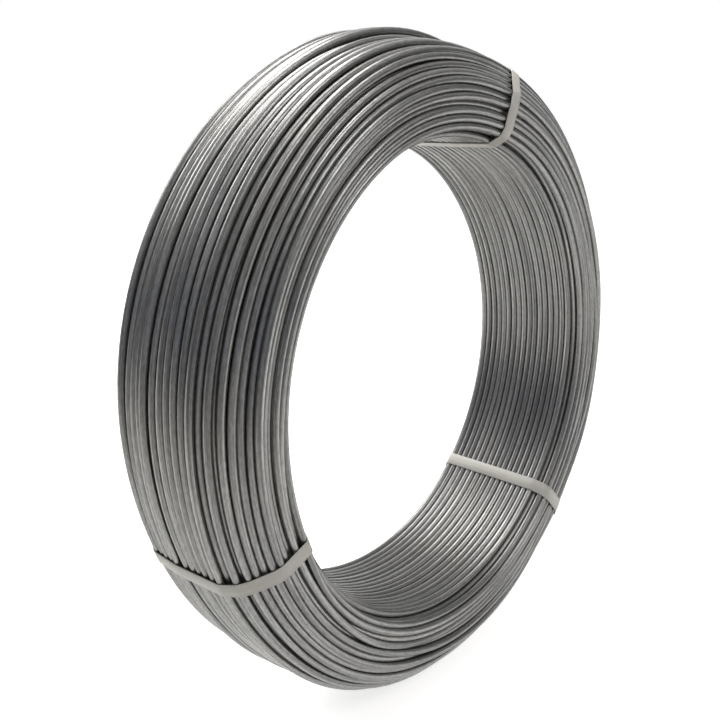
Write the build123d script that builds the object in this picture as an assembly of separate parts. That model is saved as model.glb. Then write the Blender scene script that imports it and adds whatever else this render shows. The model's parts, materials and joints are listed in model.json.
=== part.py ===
"""A strapped coil of galvanised tension wire, standing on its rim. Millimetres, +Z up.

The coil's axis runs along Y and the floor is at Z = 0. The origin is on the floor, under the middle of
the coil. The wound wire is one turned solid with a plain bore. The last turn of every layer stands out
on both ends, and the outer layers get shorter towards the rim, so that its edges are well rounded. The rim
has a shallow waist where two groups of turns meet. Three plastic straps go round the winding and hold it
together.
"""

import os
from math import sqrt

from build123d import *

# The wire and how it is wound
wire_diameter = 2.0
layer_count = 13
layer_step_share = 0.9
bore_radius = 65.0
coil_width = 40.0
bore_corner_radius = 5.0
rim_corner_radius = 13.0

# The waist between the two groups of turns on the rim
waist_width = 5.0
waist_depth = 1.0

# The straps and their angles round the axis, from +X towards +Z
strap_width = 4.0
strap_thickness = 0.18
strap_clearance = 0.1
upper_strap_angle = 75.0
left_strap_angle = 200.0
right_strap_angle = 315.0

wire_radius = wire_diameter / 2
half_width = coil_width / 2
rim_half_width = half_width - rim_corner_radius
layer_step = layer_step_share * wire_diameter
winding_depth = wire_diameter + (layer_count - 1) * layer_step
rim_radius = bore_radius + winding_depth
valley_depth = wire_radius - sqrt(wire_radius**2 - (layer_step / 2) ** 2)


def corner_inset(depth, radius):
    """How far a rounded corner has drawn back from the end, at a depth below the face it leads to."""
    if depth >= radius:
        return 0
    return radius - sqrt(radius**2 - (radius - depth) ** 2)


def end_height(from_bore):
    """The end's height above the middle of the coil, at a depth outside the bore wall."""
    from_rim = winding_depth - from_bore
    return half_width - corner_inset(from_bore, bore_corner_radius) - corner_inset(from_rim, rim_corner_radius)


def end_crests():
    """The crests of the end from the bore to the rim: the last turn of every layer, and the two edges."""
    depths = [wire_radius + layer * layer_step for layer in range(layer_count)]
    crests = [(bore_radius + depth, end_height(depth)) for depth in depths]
    return [(bore_radius, half_width - bore_corner_radius), *crests, (rim_radius, rim_half_width)]


def end_outline():
    """The ridged end from the bore to the rim, with a valley after each layer's crest but the last one's."""
    edge, *crests, rim_edge = end_crests()
    points = [edge]
    for radius, height in crests[:-1]:
        between = radius + layer_step / 2
        points.append((radius, height))
        points.append((between, end_height(between - bore_radius) - valley_depth))
    return [*points, crests[-1], rim_edge]


def rim_outline():
    """The waist in the rim, next to the corner on the +Y side."""
    return [
        (rim_radius - waist_depth, rim_half_width - waist_width / 2),
        (rim_radius, rim_half_width - waist_width),
    ]


def other_end(points):
    """The points of the other end, from the rim to the bore."""
    return [(radius, -height) for radius, height in reversed(points)]


def winding_section():
    """Half the section of the wound wire, with X as the radius and Y along the axis."""
    end = end_outline()
    return make_face(Polyline(*end, *rim_outline(), *other_end(end), close=True))


def strap_section():
    """A strap's loop round the winding: it lies on the crests and goes straight across the valleys."""
    crests = end_crests()
    envelope = make_face(Polyline(*crests, *other_end(crests), close=True))
    outer = offset(envelope, strap_clearance + strap_thickness, kind=Kind.INTERSECTION)
    return outer - offset(envelope, strap_clearance, kind=Kind.INTERSECTION)


def stand(shape):
    """Lifts a shape that was turned about the origin, so that the rim touches the floor."""
    return Pos(0, 0, rim_radius) * shape


def make_coil(winding):
    return stand(revolve(winding, Axis.Y))


def make_strap(loop, angle):
    """One strap, as wide along the rim as its band, with its middle at an angle."""
    strap = extrude(loop, strap_width / 2, both=True)
    return stand(Rot(Y=-angle) * strap)


def main():
    os.makedirs("parts", exist_ok=True)
    winding = winding_section()
    export_step(make_coil(winding), "parts/wire_coil.step")
    loop = strap_section()
    export_step(make_strap(loop, upper_strap_angle), "parts/strap_upper.step")
    export_step(make_strap(loop, left_strap_angle), "parts/strap_left.step")
    export_step(make_strap(loop, right_strap_angle), "parts/strap_right.step")


if __name__ == "__main__":
    main()
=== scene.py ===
"""The looks of a strapped coil of galvanised tension wire, standing on its rim. Metres, +Z up.

The wire is one continuous path, wound in layers that go to and fro across the coil. Each turn is laid at its
place in the section, moved a little by the looseness of the winding, and pushed clear of its neighbours.
Three plastic bands go round the winding.
"""

import json
from math import atan2, cos, pi, radians, sin, sqrt

import bpy
import numpy as np
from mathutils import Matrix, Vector


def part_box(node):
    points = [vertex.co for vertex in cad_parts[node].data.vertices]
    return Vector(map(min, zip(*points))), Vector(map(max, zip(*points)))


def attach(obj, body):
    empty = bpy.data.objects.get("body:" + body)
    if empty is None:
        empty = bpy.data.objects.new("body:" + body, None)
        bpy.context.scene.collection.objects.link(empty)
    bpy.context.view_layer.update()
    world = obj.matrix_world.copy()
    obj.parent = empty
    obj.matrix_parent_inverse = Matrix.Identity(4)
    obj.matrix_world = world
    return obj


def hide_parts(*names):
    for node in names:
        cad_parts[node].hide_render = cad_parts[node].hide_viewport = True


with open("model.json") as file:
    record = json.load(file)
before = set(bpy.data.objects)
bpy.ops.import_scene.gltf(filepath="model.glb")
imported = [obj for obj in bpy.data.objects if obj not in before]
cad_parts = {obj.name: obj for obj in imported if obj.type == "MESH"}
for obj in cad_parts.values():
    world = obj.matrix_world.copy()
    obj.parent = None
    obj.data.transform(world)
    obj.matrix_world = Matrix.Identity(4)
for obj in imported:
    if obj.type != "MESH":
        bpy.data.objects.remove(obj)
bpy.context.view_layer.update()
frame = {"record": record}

mm = 0.001
middle_share = 0.5

# The outside of the winding
coil_low, coil_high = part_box("wire_coil")
rim_radius = (coil_high.x - coil_low.x) / 2
half_width = (coil_high.y - coil_low.y) / 2
bore_radius = frame["record"]["mounts"][0]["dims"]["r_mm"] * mm
winding_depth = rim_radius - bore_radius
bore_corner_radius = 5 * mm
rim_corner_radius = 13 * mm

# The wire and its layers
wire_radius = 1.0 * mm
layer_count = 13
layer_step = (winding_depth - 2 * wire_radius) / (layer_count - 1)
turn_pitch = 1.93 * mm
pack_share = 0.15
steps_per_turn = 144
wire_sides = 10
crease_angle = radians(50)

# The last layer of each run of wire that is a mesh of its own, counted from 0 at the bore
run_last_layers = (2, 5, 7, 9, 12)

# Where a turn steps over to the next place: at the left in the bore, at the right on the rim
start_angle = radians(90)
bore_jog_angle = radians(180)
rim_jog_angle = radians(360)
jog_arc = radians(50)

# The layers whose last turn stays back from the end, counted from 0 at the bore
front_drawn_in = (1, 4, 8)
back_drawn_in = (2, 5, 9)
draw_in = 0.3 * mm

# The groove between the two groups of turns on the rim, and the gaps between smaller groups
groove_layer = 11
groove_place = 1.0 * mm
groove_gap = 1.7 * mm
groove_closing = 1.3 * mm
groove_closing_angle = radians(118)
groove_closing_arc = radians(42)
rim_gap_places = (-8.6 * mm, -12.6 * mm)
rim_gap_widths = (0.6 * mm, 0.6 * mm)
gap_start_share = 0.7
gap_full_share = 0.95
gap_edge_share = 0.25
held_gap_share = 0.4
crown_drop = 2.4 * mm
cone_rise = 0.3 * mm

# How loose the turns are, in the bore and at the rim
seed = 11
wander_counts = (1, 2, 3, 4, 6)
bore_wander = 0.08 * mm
rim_wander = 0.36 * mm
end_wander = 0.36 * mm
end_start_share = 0.7
end_span_share = 0.2
strap_hold_share = 0.75
strap_hold_arc = radians(20)

# How far the straps draw the winding in
strap_squeezes = {"strap_upper": 1.3 * mm, "strap_left": 1.4 * mm, "strap_right": 1.8 * mm}
squeeze_arc = radians(22)

# Where the back and the front group of turns stand up or sink in on the rim: angle, height and arc of each
back_swells = ((radians(94), 2.8 * mm, radians(18)), (radians(75), 3.6 * mm, radians(10)))
front_swells = (
    (radians(84), -1.7 * mm, radians(12)),
    (radians(221), -1.3 * mm, radians(10)),
    (radians(241), 1.0 * mm, radians(10)),
    (radians(260), 1.6 * mm, radians(20)),
)

# How far the bore's wall sags at the top
sag = 1.6 * mm
sag_angle = radians(84)
sag_arc = radians(16)

# How the turns are pushed clear of each other
neighbour_share = 1.9
least_distance = mm * mm
settling_rounds = 160
closing_rounds = 30
push_share = 0.3
pull_share = 0.06
smooth_share = 0.22

# How far the whole ring is out of round, and where it is longest
oval_share = 0.0255
oval_angle = radians(-58.2)

# The plastic bands
band_half_width = 1.95 * mm
band_thickness = 0.3 * mm
band_gap = 0.02 * mm
band_edge = 0.09 * mm
band_step = 0.6 * mm
band_overlap = 15 * mm
band_ramp = 3.5 * mm
band_lap_share = 1.05
band_bend_step = radians(12)
band_skews = {"strap_upper": radians(-6), "strap_left": 0.0, "strap_right": 0.0}
band_bows = {"strap_upper": radians(2.4), "strap_left": 0.0, "strap_right": 0.0}
band_starts_share = {"strap_upper": 0.46, "strap_left": 0.55, "strap_right": 0.6}


def smooth_step(x):
    """0 up to 0, 1 from 1 on, and a smooth run between them."""
    x = np.clip(x, 0, 1)
    return x * x * (3 - 2 * x)


def node_angle(node):
    """The angle of a node's middle round the coil's axis, from +X towards +Z."""
    low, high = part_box(node)
    middle = (low + high) / 2
    return atan2(middle.z - rim_radius, middle.x)


def bump(angles, middle, arc):
    """A smooth bump round an angle: 1 there, and near 0 two arcs away."""
    away = (angles - middle + pi) % (2 * pi) - pi
    return np.exp(-((away / arc) ** 2))


strap_angles = {name: node_angle(name) for name in band_skews}
turn_angles = start_angle + 2 * pi * np.arange(steps_per_turn) / steps_per_turn


# The winding

def corner_inset(depth, radius):
    """How far a rounded corner has drawn back from the end, at a depth below the face it leads to."""
    if depth >= radius:
        return 0
    return radius - sqrt(radius**2 - (radius - depth) ** 2)


def reach_at(depth):
    """How far from the middle plane the last turn of a layer can lie, at a depth outside the bore wall."""
    inset = corner_inset(depth, bore_corner_radius) + corner_inset(winding_depth - depth, rim_corner_radius)
    return half_width - inset - wire_radius


def filled(first, last):
    """Places for turns side by side, from a first one to a last one."""
    return np.linspace(first, last, int((last - first) / turn_pitch + pack_share) + 1)


def winding_places():
    """The radius and the place along the axis of every turn, in winding order, and the layer it is in."""
    places = []
    layers = []
    for layer in range(layer_count):
        depth = wire_radius + layer * layer_step
        reach = reach_at(depth)
        front = -reach + (draw_in if layer in front_drawn_in else 0)
        back = reach - (draw_in if layer in back_drawn_in else 0)
        row = filled(front, back)
        if layer >= groove_layer:
            edge = groove_gap / 2 + wire_radius
            row = np.concatenate([filled(front, groove_place - edge), filled(groove_place + edge, back)])
        if layer % 2:
            row = row[::-1]
        places += [(bore_radius + depth, place) for place in row]
        layers += [layer] * len(row)
    return np.array(places), np.array(layers)


def along_the_path(places, layers):
    """Every turn's places at each step: it keeps to its own place, and then jogs over to the next one."""
    jog_angles = bore_jog_angle + (rim_jog_angle - bore_jog_angle) * layers / (layer_count - 1)
    progress = (turn_angles[None, :] - jog_angles[:, None]) / jog_arc + middle_share
    moved = smooth_step(progress)[:, :, None]
    following = np.vstack([places[1:], places[-1:]])
    return places[:, None, :] * (1 - moved) + following[:, None, :] * moved


def looseness(angles):
    """How free the turns are at an angle: little under a strap, and fully between the straps."""
    hold = np.zeros_like(angles)
    for strap in strap_angles.values():
        hold += bump(angles, strap, strap_hold_arc)
    return 1 - strap_hold_share * np.clip(hold, 0, 1)


def wander(rng, turn_total):
    """A smooth and random wave round each turn, of about unit height."""
    waves = np.zeros((turn_total, steps_per_turn))
    for count in wander_counts:
        phases = rng.uniform(0, 2 * pi, (turn_total, 1))
        heights = rng.normal(0, 1, (turn_total, 1)) / count
        waves += heights * np.cos(count * turn_angles[None, :] + phases)
    return waves


def swelling(swells):
    """How far a group of turns stands up at each step."""
    return sum(height * bump(turn_angles, angle, arc) for angle, height, arc in swells)


def loosen(path):
    """Moves the turns as a real winding lets them: groups part on the rim, and single turns wander."""
    rng = np.random.default_rng(seed)
    radius = path[:, :, 0]
    place = path[:, :, 1]
    outward = np.clip((radius - bore_radius) / winding_depth, 0, 1)
    free = looseness(turn_angles)[None, :]
    parted = smooth_step((outward - gap_start_share) / (gap_full_share - gap_start_share))
    shift = np.zeros_like(place)
    for gap_place, gap_width in zip(rim_gap_places, rim_gap_widths):
        shift += np.tanh((place - gap_place) / (turn_pitch * gap_edge_share)) * gap_width / 2
    near_end = smooth_step((np.abs(place) / half_width - end_start_share) / end_span_share)
    size = bore_wander + (rim_wander - bore_wander) * outward**2 + end_wander * near_end * np.sqrt(outward)
    squeeze = np.zeros(steps_per_turn)
    for name, strap in strap_angles.items():
        squeeze += strap_squeezes[name] * bump(turn_angles, strap, squeeze_arc)
    behind = smooth_step((place - groove_place) / turn_pitch + middle_share)
    lift = swelling(back_swells) * behind + swelling(front_swells) * (1 - behind)
    closing = groove_closing * bump(turn_angles, groove_closing_angle, groove_closing_arc)
    gap_hold = held_gap_share + (1 - held_gap_share) * free
    moved = path.copy()
    moved[:, :, 0] += lift * outward**2 + (cone_rise * place / half_width - squeeze) * outward
    moved[:, :, 0] -= sag * bump(turn_angles, sag_angle, sag_arc) * (1 - outward) ** 2
    moved[:, :, 0] -= crown_drop * (place / half_width) ** 2 * outward**3
    moved[:, :, 0] += wander(rng, len(path)) * size * free
    moved[:, :, 1] += wander(rng, len(path)) * size * free + shift * parted * gap_hold
    moved[:, :, 1] -= closing * behind * parted
    return moved


def neighbours(places):
    """Pairs of turns that can come to touch: their places, or the next ones wound, are side by side."""
    apart = np.linalg.norm(places[:, None, :] - places[None, :, :], axis=2)
    near = apart < neighbour_share * turn_pitch
    reach = near.copy()
    reach[:-1] |= near[1:]
    reach[:, :-1] |= near[:, 1:]
    reach[:-1, :-1] |= near[1:, 1:]
    return np.argwhere(np.triu(reach | reach.T, 1))


def settle(target, pairs):
    """Pushes turns that cut into each other apart, while each keeps near its place and runs smoothly."""
    first, second = pairs.T
    by_second = np.argsort(second, kind="stable")
    pushed, first_starts = np.unique(first, return_index=True)
    pushed_back, second_starts = np.unique(second[by_second], return_index=True)
    contact = 2 * wire_radius * cos(pi / wire_sides)
    laid = target.copy()
    for settled in range(settling_rounds + closing_rounds):
        apart = laid[first] - laid[second]
        distance = np.linalg.norm(apart, axis=2, keepdims=True) + least_distance
        push = np.maximum(0, contact - distance) / distance * apart * push_share
        laid[pushed] += np.add.reduceat(push, first_starts)
        laid[pushed_back] -= np.add.reduceat(push[by_second], second_starts)
        if settled < settling_rounds:
            laid += (target - laid) * pull_share
        run = laid.reshape(-1, 2)
        run[1:-1] += smooth_share * (run[:-2] + run[2:] - 2 * run[1:-1])
    return laid


def flattened(radius, angle):
    """A radius at an angle, once the ring has gone a little out of round."""
    return radius * (1 + oval_share * np.cos(2 * (angle - oval_angle)))


def wind():
    """The settled turns, as radius and place along the axis at each step, and the layer of each turn."""
    places, layers = winding_places()
    path = loosen(along_the_path(places, layers))
    return settle(path, neighbours(places)), layers


turns, turn_layers = wind()
lowest = (flattened(turns[:, :, 0], turn_angles) * np.sin(turn_angles)).min()
centre_height = wire_radius - lowest


def in_space(radius, place, angle):
    """Points of the standing coil, from a radius, a place along the axis and an angle round it."""
    out = flattened(radius, angle)
    return np.stack([out * np.cos(angle), place + 0 * out, centre_height + out * np.sin(angle)], -1)


# Meshes

def unit(vectors):
    """Vectors of the same directions and of length 1."""
    return vectors / np.linalg.norm(vectors, axis=-1, keepdims=True)


def swept_mesh(name, rings):
    """A closed mesh through rings of points, each ring joined to the next and the two ends capped."""
    count, sides = rings.shape[:2]
    index = np.arange(count * sides).reshape(count, sides)
    beside = np.roll(index, -1, axis=1)
    quads = np.stack([index[:-1], beside[:-1], beside[1:], index[1:]], -1).reshape(-1, 4)
    faces = quads.tolist() + [index[0, ::-1].tolist(), index[-1].tolist()]
    mesh = bpy.data.meshes.new(name)
    mesh.from_pydata(rings.reshape(-1, 3).tolist(), [], faces)
    mesh.validate()
    mesh.shade_smooth()
    mesh.set_sharp_from_angle(angle=crease_angle)
    return mesh


def add_piece(mesh, material, node):
    """Adds a mesh as a piece that stands for a node and takes its finish from a slot."""
    piece = bpy.data.objects.new(mesh.name, mesh)
    bpy.context.scene.collection.objects.link(piece)
    mesh.materials.append(material)
    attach(piece, "root")
    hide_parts(node)


def wire_rings(first_step, last_step):
    """Rings of points round the wire, from one step of its path to another, and where they are along it."""
    run = turns.reshape(-1, 2)
    steps = np.arange(len(run))
    angles = start_angle + 2 * pi * steps / steps_per_turn
    centres = in_space(run[:, 0], run[:, 1], angles)
    lengths = np.concatenate([[0], np.cumsum(np.linalg.norm(np.diff(centres, axis=0), axis=1))])
    tangents = unit(np.gradient(centres, axis=0))
    outward = np.stack([np.cos(angles), 0 * angles, np.sin(angles)], -1)
    outward = unit(outward - (outward * tangents).sum(1, keepdims=True) * tangents)
    across = np.cross(tangents, outward)
    round_angles = 2 * pi * np.arange(wire_sides) / wire_sides
    cosines = np.cos(round_angles)[None, :, None] * wire_radius
    sines = np.sin(round_angles)[None, :, None] * wire_radius
    rings = centres[:, None, :] + cosines * outward[:, None, :] + sines * across[:, None, :]
    shape = rings.shape[:2]
    grain = np.stack([
        np.broadcast_to(lengths[:, None], shape),
        np.broadcast_to(cosines[:, :, 0], shape),
        np.broadcast_to(sines[:, :, 0], shape),
    ], -1)
    return rings[first_step:last_step], grain[first_step:last_step]


def make_wire(material):
    """The wire in runs of whole layers. Its two ends lie under straps, in the bore and on the rim."""
    first_turn = 0
    radian_steps = steps_per_turn / (2 * pi)
    start_step = round(((strap_angles["strap_left"] - start_angle) % (2 * pi)) * radian_steps)
    end_cut = round(((start_angle - strap_angles["strap_right"]) % (2 * pi)) * radian_steps)
    for run, last_layer in enumerate(run_last_layers):
        last_turn = int(np.searchsorted(turn_layers, last_layer, side="right"))
        first_step = first_turn * steps_per_turn if run else start_step
        last_step = last_turn * steps_per_turn + 1
        if last_layer == layer_count - 1:
            last_step -= end_cut
        rings, grain = wire_rings(first_step, last_step)
        mesh = swept_mesh(f"wire_layers_{run + 1}", rings)
        mesh.attributes.new("grain", "FLOAT_VECTOR", "POINT").data.foreach_set("vector", grain.ravel())
        add_piece(mesh, material, "wire_coil")
        first_turn = last_turn


def hull(points):
    """The corners of the smallest outline round some points, in order."""

    def chain(ordered):
        kept = []
        for point in ordered:
            while len(kept) > 1 and np.cross(kept[-1] - kept[-2], point - kept[-1]) <= 0:
                kept.pop()
            kept.append(point)
        return kept[:-1]

    ordered = [points[i] for i in np.lexsort((points[:, 1], points[:, 0]))]
    return np.array(chain(ordered) + chain(ordered[::-1]))


def band_loop(angle):
    """The taut line of a band round the turns at an angle: points on their crests, and the ways outward."""
    step = round(((angle - start_angle) % (2 * pi)) / (2 * pi) * steps_per_turn) % steps_per_turn
    corners = hull(turns[:, step])
    edges = unit(np.roll(corners, -1, axis=0) - corners)
    normals = np.stack([edges[:, 1], -edges[:, 0]], -1)
    points = []
    ways = []
    for corner, before, after in zip(corners, np.roll(normals, 1, axis=0), normals):
        bend = np.arccos(np.clip(before @ after, -1, 1))
        for share in np.linspace(0, 1, 2 + int(bend / band_bend_step)):
            way = unit(before * (1 - share) + after * share)
            points.append(corner + way * (wire_radius + band_gap))
            ways.append(way)
    points = np.array(points + points[:1])
    ways = np.array(ways + ways[:1])
    lengths = np.concatenate([[0], np.cumsum(np.linalg.norm(np.diff(points, axis=0), axis=1))])
    return points, ways, lengths


def make_band(name, material):
    """One band: a flat strip round the winding, with its last stretch lying over its first."""
    angle = strap_angles[name]
    points, ways, lengths = band_loop(angle)
    total = lengths[-1]
    run = np.arange(0, total + band_overlap, band_step)
    lift = smooth_step((run - total + band_ramp) / band_ramp) * band_thickness * band_lap_share
    at = (run + band_starts_share[name] * total) % total
    line = np.stack([np.interp(at, lengths, points[:, k]) for k in range(2)], -1)
    way = unit(np.stack([np.interp(at, lengths, ways[:, k]) for k in range(2)], -1))
    flat = band_half_width - band_edge
    thick = band_thickness
    outline = (
        (-flat, 0), (flat, 0), (band_half_width, band_edge), (band_half_width, thick - band_edge),
        (flat, thick), (-flat, thick), (-band_half_width, thick - band_edge), (-band_half_width, band_edge),
    )
    middle = bore_radius + winding_depth / 2
    columns = []
    for side, height in outline:
        spot = line + way * (height + lift)[:, None]
        off_middle = 2 * (spot[:, 0] - middle) / winding_depth
        on_front = smooth_step(-spot[:, 1] / half_width)
        turned = angle + side / spot[:, 0] + band_skews[name] / 2 * off_middle
        turned += band_bows[name] * on_front * (1 - off_middle**2)
        columns.append(in_space(spot[:, 0], spot[:, 1], turned))
    rings = np.stack(columns, 1)
    mesh = swept_mesh(f"{name}_band", rings)
    sides = np.array([side for side, _ in outline])
    grain = np.stack(np.broadcast_arrays(run[:, None], sides[None, :], 0 * run[:, None]), -1)
    mesh.attributes.new("grain", "FLOAT_VECTOR", "POINT").data.foreach_set("vector", grain.ravel())
    add_piece(mesh, material, name)


# Materials

# How noise is made and read
noise_detail = 3.0
noise_roughness = 0.55
noise_low = 0.3
noise_high = 0.7

# The wire's zinc: the scales are along and across it, and each tone is at its place on a noise
line_scale = (18.0, 1900.0, 1900.0)
line_detail = 4.0
line_roughness = 0.7
patch_scale = (40.0, 500.0, 500.0)
blotch_scale = (6.0, 120.0, 120.0)
speck_scale = (700.0, 2600.0, 2600.0)
speck_detail = 2.0
wire_tones = ((0.38, (0.165, 0.165, 0.163)), (0.62, (0.35, 0.35, 0.345)))
zinc_tones = ((0.4, (0.8, 0.8, 0.81)), (0.6, (1.0, 0.995, 0.98)))
frost_tones = ((0.35, (0.8, 0.8, 0.8)), (0.65, (1.12, 1.12, 1.12)))
wire_roughness_span = (0.27, 0.38)
wire_metal_share = 0.85
wire_bump_share = 0.08
wire_bump_height = 0.03 * mm

# The bands' plastic
band_line_scale = (30.0, 2200.0, 0.0)
band_cloud_scale = (90.0, 260.0, 0.0)
band_tones = ((0.25, (0.43, 0.42, 0.385)), (0.75, (0.505, 0.495, 0.46)))
milk_tones = ((0.3, (0.88, 0.87, 0.86)), (0.7, (1.0, 1.0, 1.0)))
band_roughness_span = (0.38, 0.52)
band_bump_share = 0.2
band_bump_height = 0.03 * mm
band_glow_share = 0.15
band_glow_depths = (0.6 * mm, 0.6 * mm, 0.5 * mm)


class Nodes:
    """Short names for adding shader nodes to a material."""

    def __init__(self, name):
        self.material = bpy.data.materials.new(name)
        self.material.use_nodes = True
        self.tree = self.material.node_tree
        self.shader = self.tree.nodes["Principled BSDF"]

    def link(self, source, target):
        self.tree.links.new(source, target)

    def grain(self, scale):
        """The coordinates of the grain, stretched by a scale."""
        attribute = self.tree.nodes.new("ShaderNodeAttribute")
        attribute.attribute_name = "grain"
        mapping = self.tree.nodes.new("ShaderNodeMapping")
        mapping.inputs["Scale"].default_value = scale
        self.link(attribute.outputs["Vector"], mapping.inputs["Vector"])
        return mapping.outputs["Vector"]

    def noise(self, vector, detail=noise_detail, roughness=noise_roughness):
        noise = self.tree.nodes.new("ShaderNodeTexNoise")
        noise.inputs["Scale"].default_value = 1.0
        noise.inputs["Detail"].default_value = detail
        noise.inputs["Roughness"].default_value = roughness
        self.link(vector, noise.inputs["Vector"])
        return noise.outputs["Fac"]

    def ramp(self, factor, tones):
        """A dark and a pale tone, each at its place on a factor."""
        ramp = self.tree.nodes.new("ShaderNodeValToRGB")
        for element, (place, colour) in zip(ramp.color_ramp.elements, tones):
            element.position = place
            element.color = (*colour, 1.0)
        self.link(factor, ramp.inputs["Fac"])
        return ramp.outputs["Color"]

    def span(self, factor, low, high):
        """A value from low to high, over the usual range of a noise."""
        span = self.tree.nodes.new("ShaderNodeMapRange")
        span.inputs["From Min"].default_value = noise_low
        span.inputs["From Max"].default_value = noise_high
        span.inputs["To Min"].default_value = low
        span.inputs["To Max"].default_value = high
        self.link(factor, span.inputs["Value"])
        return span.outputs["Result"]

    def multiply(self, first, second):
        mix = self.tree.nodes.new("ShaderNodeMix")
        mix.data_type = "RGBA"
        mix.blend_type = "MULTIPLY"
        mix.inputs["Factor"].default_value = 1.0
        self.link(first, mix.inputs["A"])
        self.link(second, mix.inputs["B"])
        return mix.outputs["Result"]

    def bump(self, height, strength, distance):
        relief = self.tree.nodes.new("ShaderNodeBump")
        relief.inputs["Strength"].default_value = strength
        relief.inputs["Distance"].default_value = distance
        self.link(height, relief.inputs["Height"])
        self.link(relief.outputs["Normal"], self.shader.inputs["Normal"])


def galvanised_wire():
    """Drawn and galvanised wire: fine lines along it, a fine frost, and zinc that varies slowly."""
    nodes = Nodes("galvanised_wire")
    lines = nodes.noise(nodes.grain(line_scale), line_detail, line_roughness)
    patches = nodes.noise(nodes.grain(patch_scale))
    blotches = nodes.noise(nodes.grain(blotch_scale))
    specks = nodes.noise(nodes.grain(speck_scale), speck_detail)
    tone = nodes.ramp(lines, wire_tones)
    zinc = nodes.ramp(blotches, zinc_tones)
    frost = nodes.ramp(specks, frost_tones)
    nodes.link(nodes.multiply(nodes.multiply(tone, zinc), frost), nodes.shader.inputs["Base Color"])
    nodes.link(nodes.span(patches, *wire_roughness_span), nodes.shader.inputs["Roughness"])
    nodes.bump(lines, wire_bump_share, wire_bump_height)
    nodes.shader.inputs["Metallic"].default_value = wire_metal_share
    return nodes.material


def strap_plastic():
    """Milky plastic band, with faint lines along it."""
    nodes = Nodes("strap_plastic")
    lines = nodes.noise(nodes.grain(band_line_scale))
    clouds = nodes.noise(nodes.grain(band_cloud_scale))
    tone = nodes.ramp(lines, band_tones)
    milk = nodes.ramp(clouds, milk_tones)
    nodes.link(nodes.multiply(tone, milk), nodes.shader.inputs["Base Color"])
    nodes.link(nodes.span(clouds, *band_roughness_span), nodes.shader.inputs["Roughness"])
    nodes.bump(lines, band_bump_share, band_bump_height)
    nodes.shader.inputs["Subsurface Weight"].default_value = band_glow_share
    nodes.shader.inputs["Subsurface Radius"].default_value = band_glow_depths
    return nodes.material


# The stage

# The studio's colours, and where one runs into the next as a direction turns to the backdrop, or up
backdrop_way = (0.79, 0.613, 0.0)
upward = (0.0, 0.0, 1.0)
white = (1.0, 1.0, 1.0)
ceiling_colour = (0.62, 0.61, 0.59)
side_wall_colour = (0.24, 0.245, 0.25)
front_wall_colour = (0.3, 0.345, 0.43)
backdrop_edges = (0.6, 0.87)
ceiling_edges = (0.2, 0.75)
front_wall_edges = (-0.6, -0.98)

# The floor, whose tone and glow change along the way to the backdrop, in metres from the origin
floor_reach = 3.0
floor_roughness = 0.9
floor_gloss = 0.1
floor_colour = (0.62, 0.61, 0.59)
front_floor_colour = (0.41, 0.395, 0.38)
floor_tone_edges = (-0.5, 0.0)
floor_glow_colour = (0.72, 0.72, 0.72)
floor_glow_edges = (-0.34, -0.06)

# The camera: its lens and its aim are measured in a square picture of this many pixels
picture_pixels = 720
focal_share = 819.4 / picture_pixels
right_share = 50.5 / picture_pixels
down_share = 10.4 / picture_pixels
camera_azimuth = radians(-52.21)
camera_elevation = radians(17.07)
camera_distance_share = 2.65
sensor_width = 36
clip_start = 1 * mm


def seen_directly(tree):
    """1 for the rays that show the background: to the camera, in a reflection or through glass."""
    path = tree.nodes.new("ShaderNodeLightPath")
    total = None
    for ray in ("Is Camera Ray", "Is Glossy Ray", "Is Transmission Ray"):
        if total is None:
            total = path.outputs[ray]
            continue
        larger = tree.nodes.new("ShaderNodeMath")
        larger.operation = "MAXIMUM"
        tree.links.new(total, larger.inputs[0])
        tree.links.new(path.outputs[ray], larger.inputs[1])
        total = larger.outputs["Value"]
    return total


def ramped(tree, value, low, high):
    """0 where a value is at low, 1 where it is at high, and a smooth run between them."""
    span = tree.nodes.new("ShaderNodeMapRange")
    span.interpolation_type = "SMOOTHSTEP"
    span.inputs["From Min"].default_value = low
    span.inputs["From Max"].default_value = high
    tree.links.new(value, span.inputs["Value"])
    return span.outputs["Result"]


def distance_along(tree, vector, way):
    """How far a vector goes along a way."""
    dot = tree.nodes.new("ShaderNodeVectorMath")
    dot.operation = "DOT_PRODUCT"
    dot.inputs[1].default_value = way
    tree.links.new(vector, dot.inputs[0])
    return dot.outputs["Value"]


def blend(tree, factor, first, second):
    """The first colour where a factor is 0, and the second where it is 1."""
    mix = tree.nodes.new("ShaderNodeMix")
    mix.data_type = "RGBA"
    tree.links.new(factor, mix.inputs["Factor"])
    for socket, colour in ((mix.inputs["A"], first), (mix.inputs["B"], second)):
        if isinstance(colour, tuple):
            socket.default_value = (*colour, 1.0)
        else:
            tree.links.new(colour, socket)
    return mix.outputs["Result"]


def make_world():
    """A studio with a white backdrop behind the coil, a pale ceiling and a dim room in front of it."""
    world = bpy.data.worlds.new("studio")
    bpy.context.scene.world = world
    world.use_nodes = True
    tree = world.node_tree
    background = tree.nodes["Background"]
    way = tree.nodes.new("ShaderNodeTexCoord").outputs["Generated"]
    facing = distance_along(tree, way, backdrop_way)
    ceiling = ramped(tree, distance_along(tree, way, upward), *ceiling_edges)
    wall = blend(tree, ramped(tree, facing, *front_wall_edges), side_wall_colour, front_wall_colour)
    room = blend(tree, ceiling, wall, ceiling_colour)
    backdrop = ramped(tree, facing, *backdrop_edges)
    tree.links.new(blend(tree, backdrop, room, white), background.inputs["Color"])


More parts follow.
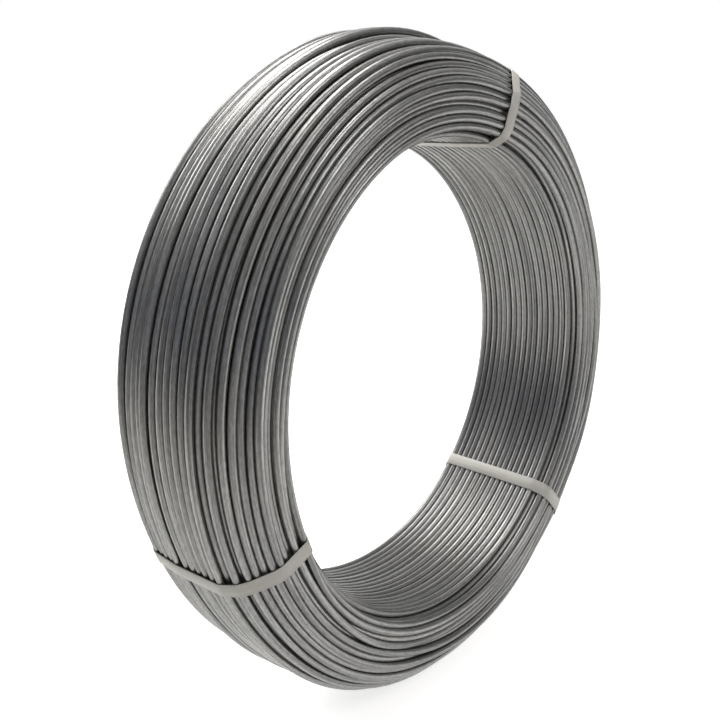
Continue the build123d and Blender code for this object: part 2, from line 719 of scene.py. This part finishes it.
def make_floor():
    """A pale floor that looks white round the coil, keeps its shadow, and is dimmer at the front."""
    reach = floor_reach
    mesh = bpy.data.meshes.new("floor")
    corners = [(-reach, -reach, 0), (reach, -reach, 0), (reach, reach, 0), (-reach, reach, 0)]
    mesh.from_pydata(corners, [], [(0, 1, 2, 3)])
    floor = bpy.data.objects.new("floor", mesh)
    bpy.context.scene.collection.objects.link(floor)
    nodes = Nodes("pale_floor")
    nodes.shader.inputs["Roughness"].default_value = floor_roughness
    nodes.shader.inputs["Specular IOR Level"].default_value = floor_gloss
    nodes.shader.inputs["Emission Color"].default_value = (*floor_glow_colour, 1.0)
    place = nodes.tree.nodes.new("ShaderNodeNewGeometry").outputs["Position"]
    ahead = distance_along(nodes.tree, place, backdrop_way)
    tone = blend(nodes.tree, ramped(nodes.tree, ahead, *floor_tone_edges), front_floor_colour, floor_colour)
    nodes.link(tone, nodes.shader.inputs["Base Color"])
    behind = ramped(nodes.tree, ahead, *floor_glow_edges)
    level = nodes.tree.nodes.new("ShaderNodeMath")
    level.operation = "MULTIPLY"
    nodes.link(seen_directly(nodes.tree), level.inputs[0])
    nodes.link(behind, level.inputs[1])
    nodes.link(level.outputs["Value"], nodes.shader.inputs["Emission Strength"])
    mesh.materials.append(nodes.material)


def add_area_light(name, place, size, power, colour):
    """A rectangular lamp of a power in watts that points at the middle of the coil."""
    lamp = bpy.data.lights.new(name, "AREA")
    lamp.shape = "RECTANGLE"
    lamp.size, lamp.size_y = size
    lamp.energy = power
    lamp.color = colour
    aim = Vector((0.0, 0.0, rim_radius))
    holder = bpy.data.objects.new(name, lamp)
    holder.location = place
    holder.rotation_euler = (aim - Vector(place)).to_track_quat("-Z", "Y").to_euler()
    bpy.context.scene.collection.objects.link(holder)


def make_lights():
    """A long lamp overhead, one behind the coil and a weak one at its front."""
    add_area_light("overhead", place=(0.1, 0.3, 0.75), size=(0.42, 1.0), power=6.6, colour=(1.0, 0.99, 0.97))
    add_area_light("back_window", place=(-0.17, 0.8, 0.65), size=(0.5, 0.4), power=3.6, colour=white)
    add_area_light("fill", place=(0.05, -0.6, 0.68), size=(0.4, 0.3), power=1.8, colour=(1.0, 0.99, 0.98))


def make_camera():
    """The camera at the left front of the coil and a little above its middle."""
    level = cos(camera_elevation)
    back = Vector((sin(camera_azimuth) * level, -cos(camera_azimuth) * level, sin(camera_elevation)))
    right = (-back).cross(Vector(upward)).normalized()
    up = right.cross(-back)
    middle = Vector((0, 0, centre_height))
    distance = camera_distance_share * rim_radius
    place = middle + back * distance
    aim = middle + (up * down_share - right * right_share) * distance / focal_share
    camera = bpy.data.cameras.new("camera")
    camera.sensor_width = sensor_width
    camera.lens = sensor_width * focal_share
    camera.clip_start = clip_start
    holder = bpy.data.objects.new("camera", camera)
    holder.location = place
    holder.rotation_euler = (aim - place).to_track_quat("-Z", "Y").to_euler()
    bpy.context.scene.collection.objects.link(holder)
    bpy.context.scene.camera = holder


make_wire(galvanised_wire())
plastic = strap_plastic()
for strap in strap_angles:
    make_band(strap, plastic)
make_world()
make_floor()
make_lights()
make_camera()
bpy.context.scene.view_settings.view_transform = "Standard"
